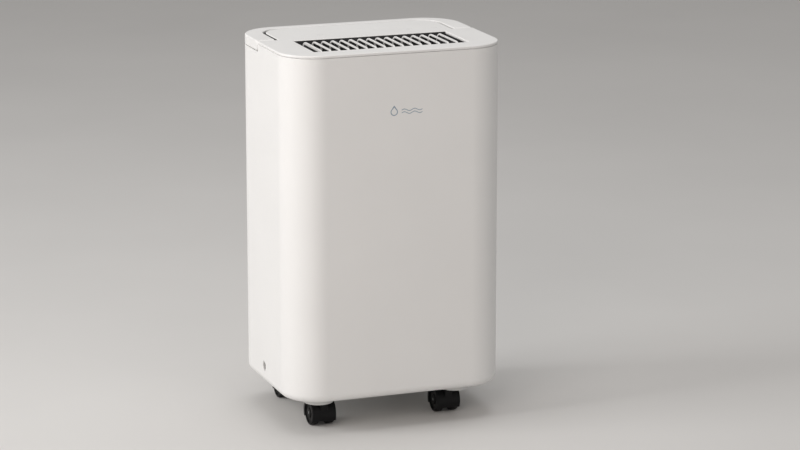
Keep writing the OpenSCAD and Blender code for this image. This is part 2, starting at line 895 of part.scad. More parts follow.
module cover_screws() {
    color(steel) for (x = [-screw_x, screw_x], z = screw_z) translate([x, 0, z]) {
        rod_y(1.8, post_y - 8, back_y - 2);
        rod_y(3.8, back_y - 2, back_y - 0.3);
    }
}

module base_screws() {
    color(steel) for (p = base_screw_at) translate([p[0], p[1], 0]) {
        translate([0, 0, base_z + 0.2]) cylinder(r = 4, h = 1.6);
        translate([0, 0, base_z + 1.8]) cylinder(r = 1.7, h = 9);
    }
}

// ---------- casters ----------

module at_caster(sx, sy) {
    translate([sx * caster_x + caster_shift, sy * caster_y, 0]) children();
}

// Hood of a twin-wheel caster: stem, web between the wheels, and mudguard.
module caster_hood(sx, sy) {
    color(black) at_caster(sx, sy) difference() {
        union() {
            translate([0, 0, wheel_r + 12]) cylinder(r = stem_r, h = stem_top - wheel_r - 12);
            translate([0, 0, 29.5]) cylinder(r = 9, h = 1.9);
            translate([0, trail, wheel_r]) {
                rod_x(web_r, -web_half_w, web_half_w);
                intersection() {
                    difference() {
                        rod_x(hood_r, -hood_half_w, hood_half_w);
                        rod_x(hood_in_r, -hood_half_w - 1, hood_half_w + 1);
                    }
                    box([-30, -30, 2], [30, 30, 30]);
                }
                intersection() {
                    rod_x(hood_r, -web_half_w, web_half_w);
                    box([-30, -30, 0], [30, 30, 30]);
                }
            }
            box([-web_half_w, -8, 17], [web_half_w, trail, 31.4]);
        }
        translate([0, trail, wheel_r]) rod_x(axle_r, -20, 20);
    }
}

module caster_axle(sx, sy) {
    color(steel) at_caster(sx, sy) translate([0, trail, wheel_r]) rod_x(axle_r, -13.6, 13.6);
}

// One wheel; side is -1 for the left wheel of the pair and 1 for the right.
module caster_wheel(sx, sy, side) {
    color(black) at_caster(sx, sy) translate([0, trail, wheel_r])
        rotate([0, 90 * side, 0]) translate([0, 0, wheel_in])
            rotate_extrude() difference() {
                translate([axle_r + run_clear, 0])
                    square([wheel_r - axle_r - run_clear, wheel_out - wheel_in]);
                translate([6, wheel_out - wheel_in - 1.5]) square([5, 2]);
                translate([wheel_r - 1, wheel_out - wheel_in - 1]) rotate([0, 0, -45])
                    translate([0.3, -3]) square([3, 6]);
            }
}

module caster_fl() { caster_hood(-1, -1); }
module caster_fr() { caster_hood(1, -1); }
module caster_rl() { caster_hood(-1, 1); }
module caster_rr() { caster_hood(1, 1); }
module axle_fl() { caster_axle(-1, -1); }
module axle_fr() { caster_axle(1, -1); }
module axle_rl() { caster_axle(-1, 1); }
module axle_rr() { caster_axle(1, 1); }
module wheel_fl_l() { caster_wheel(-1, -1, -1); }
module wheel_fl_r() { caster_wheel(-1, -1, 1); }
module wheel_fr_l() { caster_wheel(1, -1, -1); }
module wheel_fr_r() { caster_wheel(1, -1, 1); }
module wheel_rl_l() { caster_wheel(-1, 1, -1); }
module wheel_rl_r() { caster_wheel(-1, 1, 1); }
module wheel_rr_l() { caster_wheel(1, 1, -1); }
module wheel_rr_r() { caster_wheel(1, 1, 1); }

front_cover();
rear_cover();
top_cover();
base_pan();
chassis();
outlet_grille();
carry_handle();
handle_pins();
handle_seal();
control_board();
board_box();
main_board();
run_capacitor();
humidity_sensor();
level_sensor();
cable_gland();
drain_socket();
compressor();
compressor_feet();
compressor_bolts();
accumulator();
suction_pipe();
discharge_pipe();
capillary_tube();
evaporator_fins();
evaporator_tubes();
condenser_fins();
condenser_tubes();
drip_tray();
fan_scroll();
scroll_cover();
fan_motor();
fan_shaft();
fan_impeller();
inlet_grille();
filter_frame();
filter_mesh();
water_tank();
tank_lid();
tank_face();
level_window();
tank_float();
cover_screws();
base_screws();
caster_fl();
caster_fr();
caster_rl();
caster_rr();
axle_fl();
axle_fr();
axle_rl();
axle_rr();
wheel_fl_l();
wheel_fl_r();
wheel_fr_l();
wheel_fr_r();
wheel_rl_l();
wheel_rl_r();
wheel_rr_l();
wheel_rr_r();
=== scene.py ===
import json
import math
import random

import bmesh
import bpy
from mathutils import Matrix, Vector


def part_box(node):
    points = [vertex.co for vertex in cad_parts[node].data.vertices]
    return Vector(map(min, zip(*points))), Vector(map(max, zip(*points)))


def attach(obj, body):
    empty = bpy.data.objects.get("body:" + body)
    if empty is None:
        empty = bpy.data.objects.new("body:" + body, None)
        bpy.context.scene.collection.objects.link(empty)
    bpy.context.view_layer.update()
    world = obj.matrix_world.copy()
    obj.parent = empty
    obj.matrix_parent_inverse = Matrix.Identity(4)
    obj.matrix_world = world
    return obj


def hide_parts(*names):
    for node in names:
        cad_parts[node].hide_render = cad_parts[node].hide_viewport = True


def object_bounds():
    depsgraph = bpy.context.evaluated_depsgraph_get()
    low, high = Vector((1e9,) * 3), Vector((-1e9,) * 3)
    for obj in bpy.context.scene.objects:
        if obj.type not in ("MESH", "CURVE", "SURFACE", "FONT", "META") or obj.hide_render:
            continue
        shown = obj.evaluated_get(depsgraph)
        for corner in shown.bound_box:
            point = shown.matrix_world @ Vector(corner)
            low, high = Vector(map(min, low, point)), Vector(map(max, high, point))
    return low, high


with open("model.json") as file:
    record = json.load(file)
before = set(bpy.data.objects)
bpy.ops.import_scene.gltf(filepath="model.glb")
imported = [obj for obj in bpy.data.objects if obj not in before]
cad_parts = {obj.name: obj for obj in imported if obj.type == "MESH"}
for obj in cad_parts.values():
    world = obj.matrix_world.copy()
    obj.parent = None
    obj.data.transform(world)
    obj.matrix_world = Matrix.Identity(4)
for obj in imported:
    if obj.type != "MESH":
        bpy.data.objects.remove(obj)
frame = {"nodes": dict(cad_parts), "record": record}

MM = 0.001                   # drawings are in millimetres, the scene in metres
scene = bpy.context.scene
nodes = frame["nodes"]
node_body = {n: b for b, group in frame["record"]["behaviour"]["bodies"].items() for n in group}
node_slot = {s["node"]: s["material_slot"] for s in frame["record"]["subparts"]}
cad_low, cad_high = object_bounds()

# ---------------------------------------------------------------- dimensions, in millimetres
HALF_W = cad_high.x / MM
HALF_D = cad_high.y / MM
TOP = cad_high.z / MM
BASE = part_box("base_screws")[0].z / MM - 0.2
CORNER_R = 44
SEAM_Y = HALF_D - CORNER_R
POCKET_Y = 14.5
DECK_HALF_W = 106.4
WALL = 2.5
BOTTOM_R = 10
LID_T = 3.4
RAIL_Z = TOP - 12.3
PRINT = 0.05                 # printed marks stand this far proud, so faces lie this far inside the CAD box
OUT_W = HALF_W - PRINT
OUT_D = HALF_D - PRINT
PRINT_TOP = TOP - PRINT
CORNER_STEPS = 16
ROLL_STEPS = 8


# ---------------------------------------------------------------- materials
class Shader:
    """A Principled material and small helpers for its procedural nodes."""

    def __init__(self, name, color, roughness, metallic=0.0, **sockets):
        self.material = bpy.data.materials.new(name)
        self.material.use_nodes = True
        self.tree = self.material.node_tree
        self.bsdf = self.tree.nodes["Principled BSDF"]
        self.bsdf.inputs["Base Color"].default_value = (*color, 1)
        self.bsdf.inputs["Roughness"].default_value = roughness
        self.bsdf.inputs["Metallic"].default_value = metallic
        for key, value in sockets.items():
            self.bsdf.inputs[key.replace("_", " ")].default_value = value
        self.coords = self.tree.nodes.new("ShaderNodeTexCoord").outputs["Object"]
        self.color = color

    def link(self, out, to):
        self.tree.links.new(out, to)

    def node(self, kind, **values):
        made = self.tree.nodes.new(kind)
        for key, value in values.items():
            if key in made.inputs:
                made.inputs[key].default_value = value
            else:
                setattr(made, key, value)
        return made

    def stretched(self, scale):
        mapping = self.node("ShaderNodeMapping")
        mapping.inputs["Scale"].default_value = scale
        self.link(self.coords, mapping.inputs["Vector"])
        return mapping.outputs["Vector"]

    def noise(self, scale, detail=3.0, stretch=None):
        made = self.node("ShaderNodeTexNoise")
        made.inputs["Scale"].default_value = scale
        made.inputs["Detail"].default_value = detail
        self.link(self.stretched(stretch) if stretch else self.coords, made.inputs["Vector"])
        return made.outputs["Fac"]

    def ramp(self, value, low, high, start=0.3, stop=0.7):
        made = self.node("ShaderNodeMapRange")
        made.inputs["From Min"].default_value = start
        made.inputs["From Max"].default_value = stop
        made.inputs["To Min"].default_value = low
        made.inputs["To Max"].default_value = high
        self.link(value, made.inputs["Value"])
        return made.outputs["Result"]

    def mix(self, factor, first, second):
        made = self.node("ShaderNodeMix", data_type="RGBA")
        for index, color in ((6, first), (7, second)):
            if isinstance(color, tuple):
                made.inputs[index].default_value = (*color, 1)
            else:
                self.link(color, made.inputs[index])
        self.link(factor, made.inputs[0])
        return made.outputs[2]

    def tint(self, value, spread, start=0.3, stop=0.7):
        """Varies the base colour by a share of itself, up and down."""
        dark = tuple(c * (1 - spread) for c in self.color)
        light = tuple(min(1, c * (1 + spread)) for c in self.color)
        result = self.mix(self.ramp(value, 0, 1, start, stop), dark, light)
        self.link(result, self.bsdf.inputs["Base Color"])
        return result

    def rough(self, value, low, high):
        self.link(self.ramp(value, low, high), self.bsdf.inputs["Roughness"])

    def bump(self, value, height, strength=1.0):
        made = self.node("ShaderNodeBump")
        made.inputs["Distance"].default_value = height * MM
        made.inputs["Strength"].default_value = strength
        self.link(value, made.inputs["Height"])
        self.link(made.outputs["Normal"], self.bsdf.inputs["Normal"])


def moulded(name, color, roughness, grain=0.02, spread=0.012, **sockets):
    """Injection-moulded plastic: fine spark-eroded grain, faint flow marks and handling marks."""
    s = Shader(name, color, roughness, **sockets)
    s.tint(s.noise(9, 4), spread)
    s.rough(s.noise(35, 5), roughness - 0.05, roughness + 0.06)
    s.bump(s.noise(1900, 2), grain)
    return s.material


def rubber(name, color, roughness, **sockets):
    s = Shader(name, color, roughness, **sockets)
    s.tint(s.noise(60, 5), 0.35)
    s.rough(s.noise(120, 4), roughness - 0.08, roughness + 0.1)
    s.bump(s.noise(900, 3), 0.03)
    return s.material


def brushed(name, color, roughness, stretch=(1, 1, 30)):
    s = Shader(name, color, roughness, metallic=1.0)
    grain = s.noise(300, 3, stretch)
    s.tint(grain, 0.08)
    s.rough(grain, roughness - 0.08, roughness + 0.12)
    s.bump(grain, 0.01)
    return s.material


def painted_steel(name, color, roughness):
    s = Shader(name, color, roughness, Coat_Weight=0.3, Coat_Roughness=0.2)
    s.tint(s.noise(40, 4), 0.2)
    s.rough(s.noise(90, 4), roughness - 0.06, roughness + 0.08)
    s.bump(s.noise(450, 2), 0.04)
    return s.material


def circuit(name, color):
    """Solder mask with a maze of copper tracks under it."""
    s = Shader(name, color, 0.3)
    bricks = s.node("ShaderNodeTexBrick", offset=0.37, squash=0.6)
    bricks.inputs["Scale"].default_value = 160
    bricks.inputs["Mortar Size"].default_value = 0.03
    s.link(s.coords, bricks.inputs["Vector"])
    lighter = tuple(min(1, c * 2.2 + 0.02) for c in color)
    s.link(s.mix(bricks.outputs["Fac"], color, lighter), s.bsdf.inputs["Base Color"])
    s.bump(bricks.outputs["Fac"], 0.05)
    return s.material


def woven(name, color, cell=1.2):
    """Fine nylon net: threads both ways, dark between them."""
    s = Shader(name, color, 0.7)
    threads = []
    for stretch in ((1, 0, 0), (0, 0, 1)):
        wave = s.node("ShaderNodeTexWave", wave_type="BANDS", bands_direction="X" if stretch[0] else "Z")
        wave.inputs["Scale"].default_value = math.pi / 10 / (cell * MM)
        s.link(s.coords, wave.inputs["Vector"])
        threads.append(wave.outputs["Fac"])
    top = s.node("ShaderNodeMath", operation="MAXIMUM")
    s.link(threads[0], top.inputs[0])
    s.link(threads[1], top.inputs[1])
    net = s.ramp(top.outputs[0], 0, 1, 0.6, 0.8)
    s.link(s.mix(net, tuple(c * 0.15 for c in color), color), s.bsdf.inputs["Base Color"])
    s.bump(net, 0.3)
    return s.material


def frosted(name, color, roughness, transmission):
    s = Shader(name, color, roughness, Transmission_Weight=transmission, IOR=1.49)
    s.tint(s.noise(14, 3), 0.03)
    s.rough(s.noise(50, 4), roughness - 0.06, roughness + 0.08)
    s.bump(s.noise(700, 2), 0.03)
    return s.material


MATERIALS = {
    "shell": moulded("white_shell", (0.78, 0.775, 0.765), 0.42),
    "shell_rear": moulded("white_rear", (0.775, 0.77, 0.76), 0.46, grain=0.03),
    "inner_plastic": moulded("grey_plastic", (0.62, 0.62, 0.61), 0.5, spread=0.03),
    "dark_plastic": moulded("dark_plastic", (0.02, 0.02, 0.021), 0.5, spread=0.2),
    "caster_plastic": moulded("caster_nylon", (0.005, 0.005, 0.0055), 0.4, spread=0.3,
                              Specular_IOR_Level=0.2),
    "wheel_tread": rubber("wheel_tread", (0.005, 0.005, 0.005), 0.5, Specular_IOR_Level=0.2),
    "seal_rubber": rubber("seal_rubber", (0.01, 0.01, 0.01), 0.7),
    "foot_rubber": rubber("foot_rubber", (0.02, 0.02, 0.02), 0.7),
    "steel": brushed("zinc_steel", (0.62, 0.63, 0.64), 0.32),
    "black_steel": painted_steel("black_steel", (0.02, 0.02, 0.022), 0.35),
    "copper": brushed("copper_tube", (0.72, 0.38, 0.25), 0.3, (20, 1, 1)),
    "fin_aluminium": brushed("fin_aluminium", (0.8, 0.81, 0.82), 0.35),
    "board": circuit("circuit_board", (0.02, 0.12, 0.05)),
    "board_box": moulded("box_plastic", (0.03, 0.03, 0.032), 0.55, spread=0.15),
    "capacitor": brushed("capacitor_can", (0.7, 0.7, 0.7), 0.4),
    "clear_tank": frosted("frosted_tank", (0.78, 0.86, 0.9), 0.35, 0.6),
    "window": frosted("level_window", (0.6, 0.7, 0.76), 0.15, 0.7),
    "filter_mesh": woven("filter_net", (0.12, 0.12, 0.13)),
    # Near-black duct plastic: a dark moulding whose darkness is also painted shade for the deep, unlit inside
    # of the outlet slot.
    "duct_plastic": moulded("duct_plastic", (0.03, 0.03, 0.032), 0.6, spread=0.15),
}
PRINT_GREY = moulded("print_grey", (0.30, 0.32, 0.34), 0.4, spread=0.05)
MARK_BLUE = moulded("mark_blue", (0.26, 0.33, 0.40), 0.4, spread=0.05)
KEY_GREY = moulded("key_grey", (0.62, 0.62, 0.62), 0.4, spread=0.05)


# ---------------------------------------------------------------- building pieces
def to_piece(obj, body, slot, stands_for=(), material=None):
    """Makes an object a piece of a body, finished like a slot, in place of some CAD nodes."""
    obj.data.materials.clear()
    obj.data.materials.append(material or MATERIALS[slot])
    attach(obj, body)
    if stands_for:
        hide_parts(*stands_for)
    return obj


def settle(obj):
    """Applies an object's modifiers to its mesh."""
    bpy.context.view_layer.update()
    graph = bpy.context.evaluated_depsgraph_get()
    made = bpy.data.meshes.new_from_object(obj.evaluated_get(graph))
    obj.modifiers.clear()
    old = obj.data
    obj.data = made
    made.name = obj.name
    bpy.data.meshes.remove(old)
    return obj


def soften(obj, width, segments=2, angle=35):
    """Rounds an object's hard edges and shades it smoothly."""
    if width:
        bevel = obj.modifiers.new("edges", "BEVEL")
        bevel.width = width * MM
        bevel.segments = segments
        bevel.limit_method = "ANGLE"
        bevel.angle_limit = math.radians(angle)
    weighted = obj.modifiers.new("shading", "WEIGHTED_NORMAL")
    weighted.keep_sharp = True
    for face in obj.data.polygons:
        face.use_smooth = True
    return settle(obj)


def from_bmesh(name, bm, width=0.0, segments=2, sharp=40, cutters=()):
    """An object from a bmesh drawn in millimetres, cut, rounded and shaded."""
    bmesh.ops.remove_doubles(bm, verts=bm.verts, dist=1e-3)
    bmesh.ops.recalc_face_normals(bm, faces=bm.faces)
    bmesh.ops.scale(bm, vec=(MM, MM, MM), verts=bm.verts)
    mesh = bpy.data.meshes.new(name)
    bm.to_mesh(mesh)
    bm.free()
    obj = bpy.data.objects.new(name, mesh)
    scene.collection.objects.link(obj)
    for cutter in cutters:
        cut = obj.modifiers.new("cut", "BOOLEAN")
        cut.object = cutter
        cut.solver = "EXACT"
        settle(obj)
        bpy.data.objects.remove(cutter)
    mark = bmesh.new()
    mark.from_mesh(obj.data)
    for edge in mark.edges:
        edge.smooth = edge.calc_face_angle(0) < math.radians(sharp)
    mark.to_mesh(obj.data)
    mark.free()
    return soften(obj, width, segments)


def refined(node, width, segments=2, name=None, sharp=28):
    """A copy of a CAD node with clean faces and rounded edges, which stands for the node."""
    bm = bmesh.new()
    bm.from_mesh(nodes[node].data)
    bmesh.ops.scale(bm, vec=(1 / MM, 1 / MM, 1 / MM), verts=bm.verts)
    bmesh.ops.remove_doubles(bm, verts=bm.verts, dist=1e-3)
    bmesh.ops.dissolve_limit(bm, angle_limit=math.radians(0.5), verts=bm.verts, edges=bm.edges)
    obj = from_bmesh(name or node + "_piece", bm, width, segments, sharp)
    return to_piece(obj, node_body[node], node_slot[node], (node,))


def arc(cx, cy, r, start, stop, steps):
    """Points on a circular arc, angles in degrees."""
    turns = [math.radians(start + (stop - start) * i / steps) for i in range(steps + 1)]
    return [(cx + r * math.cos(t), cy + r * math.sin(t)) for t in turns]


def rounded(x0, y0, x1, y1, r, steps=6):
    """A closed rounded rectangle."""
    return (arc(x1 - r, y1 - r, r, 0, 90, steps) + arc(x0 + r, y1 - r, r, 90, 180, steps)
            + arc(x0 + r, y0 + r, r, 180, 270, steps) + arc(x1 - r, y0 + r, r, 270, 360, steps))


PLANES = {"xy": lambda u, v, w: (u, v, w), "xz": lambda u, v, w: (u, w, v), "yz": lambda u, v, w: (w, u, v)}


def plate_bmesh(loops, w0, w1, edge, plane="xy", segments=2):
    """A flat plate with rounded edges and any holes, from closed loops in a plane, between w0 and w1."""
    curve = bpy.data.curves.new("plate", "CURVE")
    curve.dimensions = "2D"
    curve.fill_mode = "BOTH"
    for loop in loops:
        spline = curve.splines.new("POLY")
        spline.points.add(len(loop) - 1)
        for point, (u, v) in zip(spline.points, loop):
            point.co = (u, v, 0, 1)
        spline.use_cyclic_u = True
    curve.extrude = (w1 - w0) / 2 - edge
    curve.bevel_depth = edge
    curve.offset = -edge
    curve.bevel_resolution = segments
    obj = bpy.data.objects.new("plate", curve)
    scene.collection.objects.link(obj)
    bpy.context.view_layer.update()
    mesh = bpy.data.meshes.new_from_object(obj.evaluated_get(bpy.context.evaluated_depsgraph_get()))
    bm = bmesh.new()
    bm.from_mesh(mesh)
    bpy.data.objects.remove(obj)
    bpy.data.curves.remove(curve)
    bpy.data.meshes.remove(mesh)
    for vert in bm.verts:
        u, v, w = vert.co
        vert.co = PLANES[plane](u, v, w + (w0 + w1) / 2)
    return bm


def add_copies(bm, other, offsets):
    """Adds copies of another bmesh, each moved by an offset, and frees it."""
    mesh = bpy.data.meshes.new("copy")
    other.to_mesh(mesh)
    other.free()
    for offset in offsets:
        before = len(bm.verts)
        bm.from_mesh(mesh)
        bm.verts.ensure_lookup_table()
        bmesh.ops.translate(bm, vec=offset, verts=bm.verts[before:])
    bpy.data.meshes.remove(mesh)
    return bm


def plates(name, parts, body, slot, stands_for=(), material=None, sharp=40):
    """One piece made of several plates, each (loops, w0, w1, edge, plane, offsets)."""
    bm = bmesh.new()
    for loops, w0, w1, edge, plane, offsets in parts:
        add_copies(bm, plate_bmesh(loops, w0, w1, edge, plane), offsets)
    return to_piece(from_bmesh(name, bm, sharp=sharp), body, slot, stands_for, material)


HERE = [(0, 0, 0)]


def add_face(bm, points):
    bm.faces.new([bm.verts.new(p) for p in points])


def lathe_bmesh(bm, profile, center, axis="x", steps=48, start=0, stop=360, closed=True):
    """Turns a profile of (along, radius) points about an axis through a centre."""
    cx, cy, cz = center
    place = {
        "x": lambda a, u, v: (cx + a, cy + u, cz + v),
        "y": lambda a, u, v: (cx + u, cy + a, cz + v),
        "z": lambda a, u, v: (cx + u, cy + v, cz + a),
    }[axis]
    full = abs(stop - start) >= 360
    turns = [math.radians(start + (stop - start) * i / steps) for i in range(steps + 1)]
    rings = [[place(a, r * math.cos(t), r * math.sin(t)) for a, r in profile] for t in turns]
    count = len(profile)
    for first, second in zip(rings, rings[1:]):
        for i in range(count if closed else count - 1):
            j = (i + 1) % count
            corners = [first[i], first[j], second[j], second[i]]
            kept = [p for k, p in enumerate(corners) if p not in corners[:k]]
            if len(kept) > 2 and not (profile[i][1] == 0 and profile[j][1] == 0):
                add_face(bm, kept)
    if closed and not full:
        add_face(bm, rings[0])
        add_face(bm, rings[-1])
    return bm


def turned(name, profile, center, axis, body, slot, stands_for=(), width=0.0, steps=48, **sweep):
    """A piece that is one turned profile."""
    bm = lathe_bmesh(bmesh.new(), profile, center, axis, steps, **sweep)
    return to_piece(from_bmesh(name, bm, width), body, slot, stands_for)


def cylinder_cutter(radius, center, axis, half, steps=40):
    bm = lathe_bmesh(bmesh.new(), [(-half, 0), (-half, radius), (half, radius), (half, 0)],
                     center, axis, steps, closed=False)
    return from_bmesh("cutter", bm)


def box_cutter(low, high, edge=0.0):
    bm = bmesh.new()
    bmesh.ops.create_cube(bm, size=1)
    for vert in bm.verts:
        vert.co = [low[i] + (vert.co[i] + 0.5) * (high[i] - low[i]) for i in range(3)]
    return from_bmesh("cutter", bm, edge)


# ---------------------------------------------------------------- casing
def side_columns(stations):
    """Columns (x, y, nx, ny) along the casing's outline, through the given stations."""
    columns = []
    for kind, *values in stations:
        if kind == "side":
            sx, ys = values
            columns += [(sx * OUT_W, y, sx, 0) for y in ys]
        elif kind == "end":
            sy, xs = values
            columns += [(x, sy * OUT_D, 0, sy) for x in xs]
        else:
            sx, sy, start, stop = values
            cx, cy = sx * (OUT_W - CORNER_R), sy * (OUT_D - CORNER_R)
            for i in range(1, CORNER_STEPS):
                t = math.radians(start + (stop - start) * i / CORNER_STEPS)
                n = (math.cos(t), math.sin(t))
                columns.append((cx + n[0] * CORNER_R, cy + n[1] * CORNER_R, *n))
    return columns


def at(column, inset, z):
    x, y, nx, ny = column
    return (x - nx * inset, y - ny * inset, z)


def wall_ring(heights):
    """The shell's section as (inset, height): rolled bottom edge and wall, outside and inside."""
    def roll(r):
        turns = [math.radians(90 * i / ROLL_STEPS) for i in range(ROLL_STEPS + 1)]
        return [(BOTTOM_R - r * math.sin(t), BASE + BOTTOM_R - r * math.cos(t)) for t in turns]

    return roll(BOTTOM_R) + [(0, z) for z in heights], roll(BOTTOM_R - WALL) + [(WALL, z) for z in heights]


def wall_sheets(bm, columns, outer, inner, openings=(), upper=None):
    """Outer and inner faces of a shell between columns, its rims and the jambs of its openings."""
    def is_open(i, j):
        x = (columns[i][0] + columns[i + 1][0]) / 2
        z = (outer[j][1] + outer[j + 1][1]) / 2
        return columns[i][3] == 1 and columns[i + 1][3] == 1 and any(
            abs(x) < half and z0 < z < z1 for half, z0, z1 in openings)

    last = len(outer) - 1
    for i in range(len(columns) - 1):
        a, b = columns[i], columns[i + 1]
        for j in range(last):
            if is_open(i, j):
                continue
            for row in (outer, inner):
                add_face(bm, [at(a, *row[j]), at(b, *row[j]), at(b, *row[j + 1]), at(a, *row[j + 1])])
            for k in (j - 1, j + 1):
                if 0 <= k < last and is_open(i, k):
                    e = max(j, k)
                    add_face(bm, [at(a, *outer[e]), at(b, *outer[e]), at(b, *inner[e]), at(a, *inner[e])])
            for k in (i - 1, i + 1):
                if 0 <= k < len(columns) - 1 and is_open(k, j):
                    c = columns[max(i, k)]
                    add_face(bm, [at(c, *outer[j]), at(c, *outer[j + 1]),
                                  at(c, *inner[j + 1]), at(c, *inner[j])])
        add_face(bm, [at(a, *outer[0]), at(b, *outer[0]), at(b, *inner[0]), at(a, *inner[0])])
        if not (upper and max(a[1], b[1]) <= POCKET_Y):
            add_face(bm, [at(a, *outer[-1]), at(b, *outer[-1]), at(b, *inner[-1]), at(a, *inner[-1])])
            continue
        lower = outer[-1][1]
        for inset in (0, WALL):
            add_face(bm, [at(a, inset, lower), at(b, inset, lower), at(b, inset, upper), at(a, inset, upper)])
        add_face(bm, [at(a, 0, upper), at(b, 0, upper), at(b, WALL, upper), at(a, WALL, upper)])
        for c, d in ((a, b), (b, a)):
            if c[1] == POCKET_Y and d[1] < POCKET_Y:
                add_face(bm, [at(c, 0, RAIL_Z), at(c, 0, upper), at(c, WALL, upper), at(c, WALL, RAIL_Z)])
    for c in (columns[0], columns[-1]):
        for j in range(last):
            add_face(bm, [at(c, *outer[j]), at(c, *outer[j + 1]), at(c, *inner[j + 1]), at(c, *inner[j])])


def make_front_shell():
    """Front and both sides in one, with the hole for the drain port."""
    columns = side_columns([
        ("side", -1, (SEAM_Y, POCKET_Y, -SEAM_Y)), ("corner", -1, -1, 180, 270),
        ("end", -1, (-88, -44, 0, 44, 88)), ("corner", 1, -1, 270, 360),
        ("side", 1, (-SEAM_Y, POCKET_Y, SEAM_Y))])
    outer, inner = wall_ring((BASE + 100, BASE + 200, BASE + 300, RAIL_Z))
    bm = bmesh.new()
    wall_sheets(bm, columns, outer, inner, upper=TOP - LID_T - 0.2)
    drain = cylinder_cutter(6, (-OUT_W, 3, BASE + 21.5), "x", 8)
    shell = from_bmesh("front_shell", bm, 0.45, cutters=(drain,))
    to_piece(shell, "casing", "shell", ("front_cover",))


def make_rear_shell():
    """Rear wall with the windows for grille and tank, the cord's seat and the screw recesses."""
    edge = 86.6
    columns = side_columns([
        ("side", 1, (SEAM_Y,)), ("corner", 1, 1, 0, 90),
        ("end", 1, (88, edge, 60, 20, -20, -60, -edge, -88)), ("corner", -1, 1, 90, 180),
        ("side", -1, (SEAM_Y,))])
    outer, inner = wall_ring((53.4, 110, 165, 220.6, 243.4, 300, 350, 404.6, RAIL_Z))
    bm = bmesh.new()
    wall_sheets(bm, columns, outer, inner, openings=((edge, 53.4, 220.6), (edge, 243.4, 404.6)))
    cutters = [cylinder_cutter(7, (50, OUT_D, 233.5), "y", 8)]
    for x in (-76, 76):
        for z in (232, 412):
            cutters.append(cylinder_cutter(4, (x, OUT_D, z), "y", 2))
    shell = from_bmesh("rear_shell", bm, 0.4, cutters=cutters)
    to_piece(shell, "casing", "shell_rear", ("rear_cover",))


def deck_loop(grow, y0=POCKET_Y, steps=14):
    """The deck's outline, which the handle lies around."""
    half, back, r = DECK_HALF_W + grow, 83.5 + grow, 24 + grow
    return ([(-half, y0), (half, y0)] + arc(half - r, back - r, r, 0, 90, steps)
            + arc(r - half, back - r, r, 90, 180, steps))


def casing_loop(y_cut, inset=0.0, front=True):
    """The casing's outline in front of a line, or behind it."""
    w, d, r = OUT_W - inset, OUT_D - inset, CORNER_R - inset
    cx, cy = w - r, d - r
    if front:
        return ([(-w, y_cut)] + arc(-cx, -cy, r, 180, 270, CORNER_STEPS)
                + arc(cx, -cy, r, 270, 360, CORNER_STEPS) + [(w, y_cut)])
    return ([(w, y_cut)] + arc(cx, cy, r, 0, 90, CORNER_STEPS)
            + arc(-cx, cy, r, 90, 180, CORNER_STEPS) + [(-w, y_cut)])


def make_top_moulding():
    """Top plate with the deck and the outlet's slot, the pocket for the handle, and the deck's seal."""
    deck = deck_loop(0)
    top = casing_loop(POCKET_Y) + [deck[1]] + deck[2:-1] + [deck[-1], deck[0]]
    slot = rounded(-93, -72.5, 93, 3, 1.2, 3)
    plates("top_plate", [([top, slot], TOP - LID_T, PRINT_TOP, 1.15, "xy", HERE)],
           "casing", "shell", ("top_cover",))
    deck_wall = [deck_loop(-0.05), deck_loop(-2.5, POCKET_Y + 2.5)]
    pocket_floor = [casing_loop(POCKET_Y - 2, 2.6, front=False), deck_loop(-2.4)]
    rim = [casing_loop(POCKET_Y - 0.3, 2.6), casing_loop(POCKET_Y - 2.8, 5)]
    walls = [(deck_wall, 426.5, TOP - LID_T + 0.4, 0.3, "xy", HERE),
             (pocket_floor, 426.5, 429, 0.3, "xy", HERE)]
    for x0, x1 in ((-129.2, -105), (105, 129.2)):
        end = [rounded(x0, POCKET_Y - 2.5, x1, POCKET_Y, 0.5, 2)]
        walls.append((end, 426.5, TOP - LID_T + 0.2, 0.2, "xy", HERE))
    walls.append((rim, 432.6, 439, 0.3, "xy", HERE))
    # Dark lining round the outlet slot; its near-black colour is partly painted shade for the slot's deep
    # inside.
    skirt = [rounded(-95, -74.5, 95, 5, 2, 4), slot]
    plates("outlet_skirt", [(skirt, 414.6, TOP - LID_T + 0.1, 0.2, "xy", HERE)], "casing", "duct_plastic")
    plates("top_walls", walls, "casing", "shell")
    plates("deck_seal", [([deck_loop(1.2), deck_loop(0.05)], 430.7, 440.9, 0.3, "xy", HERE)],
           "casing", "seal_rubber", ("handle_seal",))


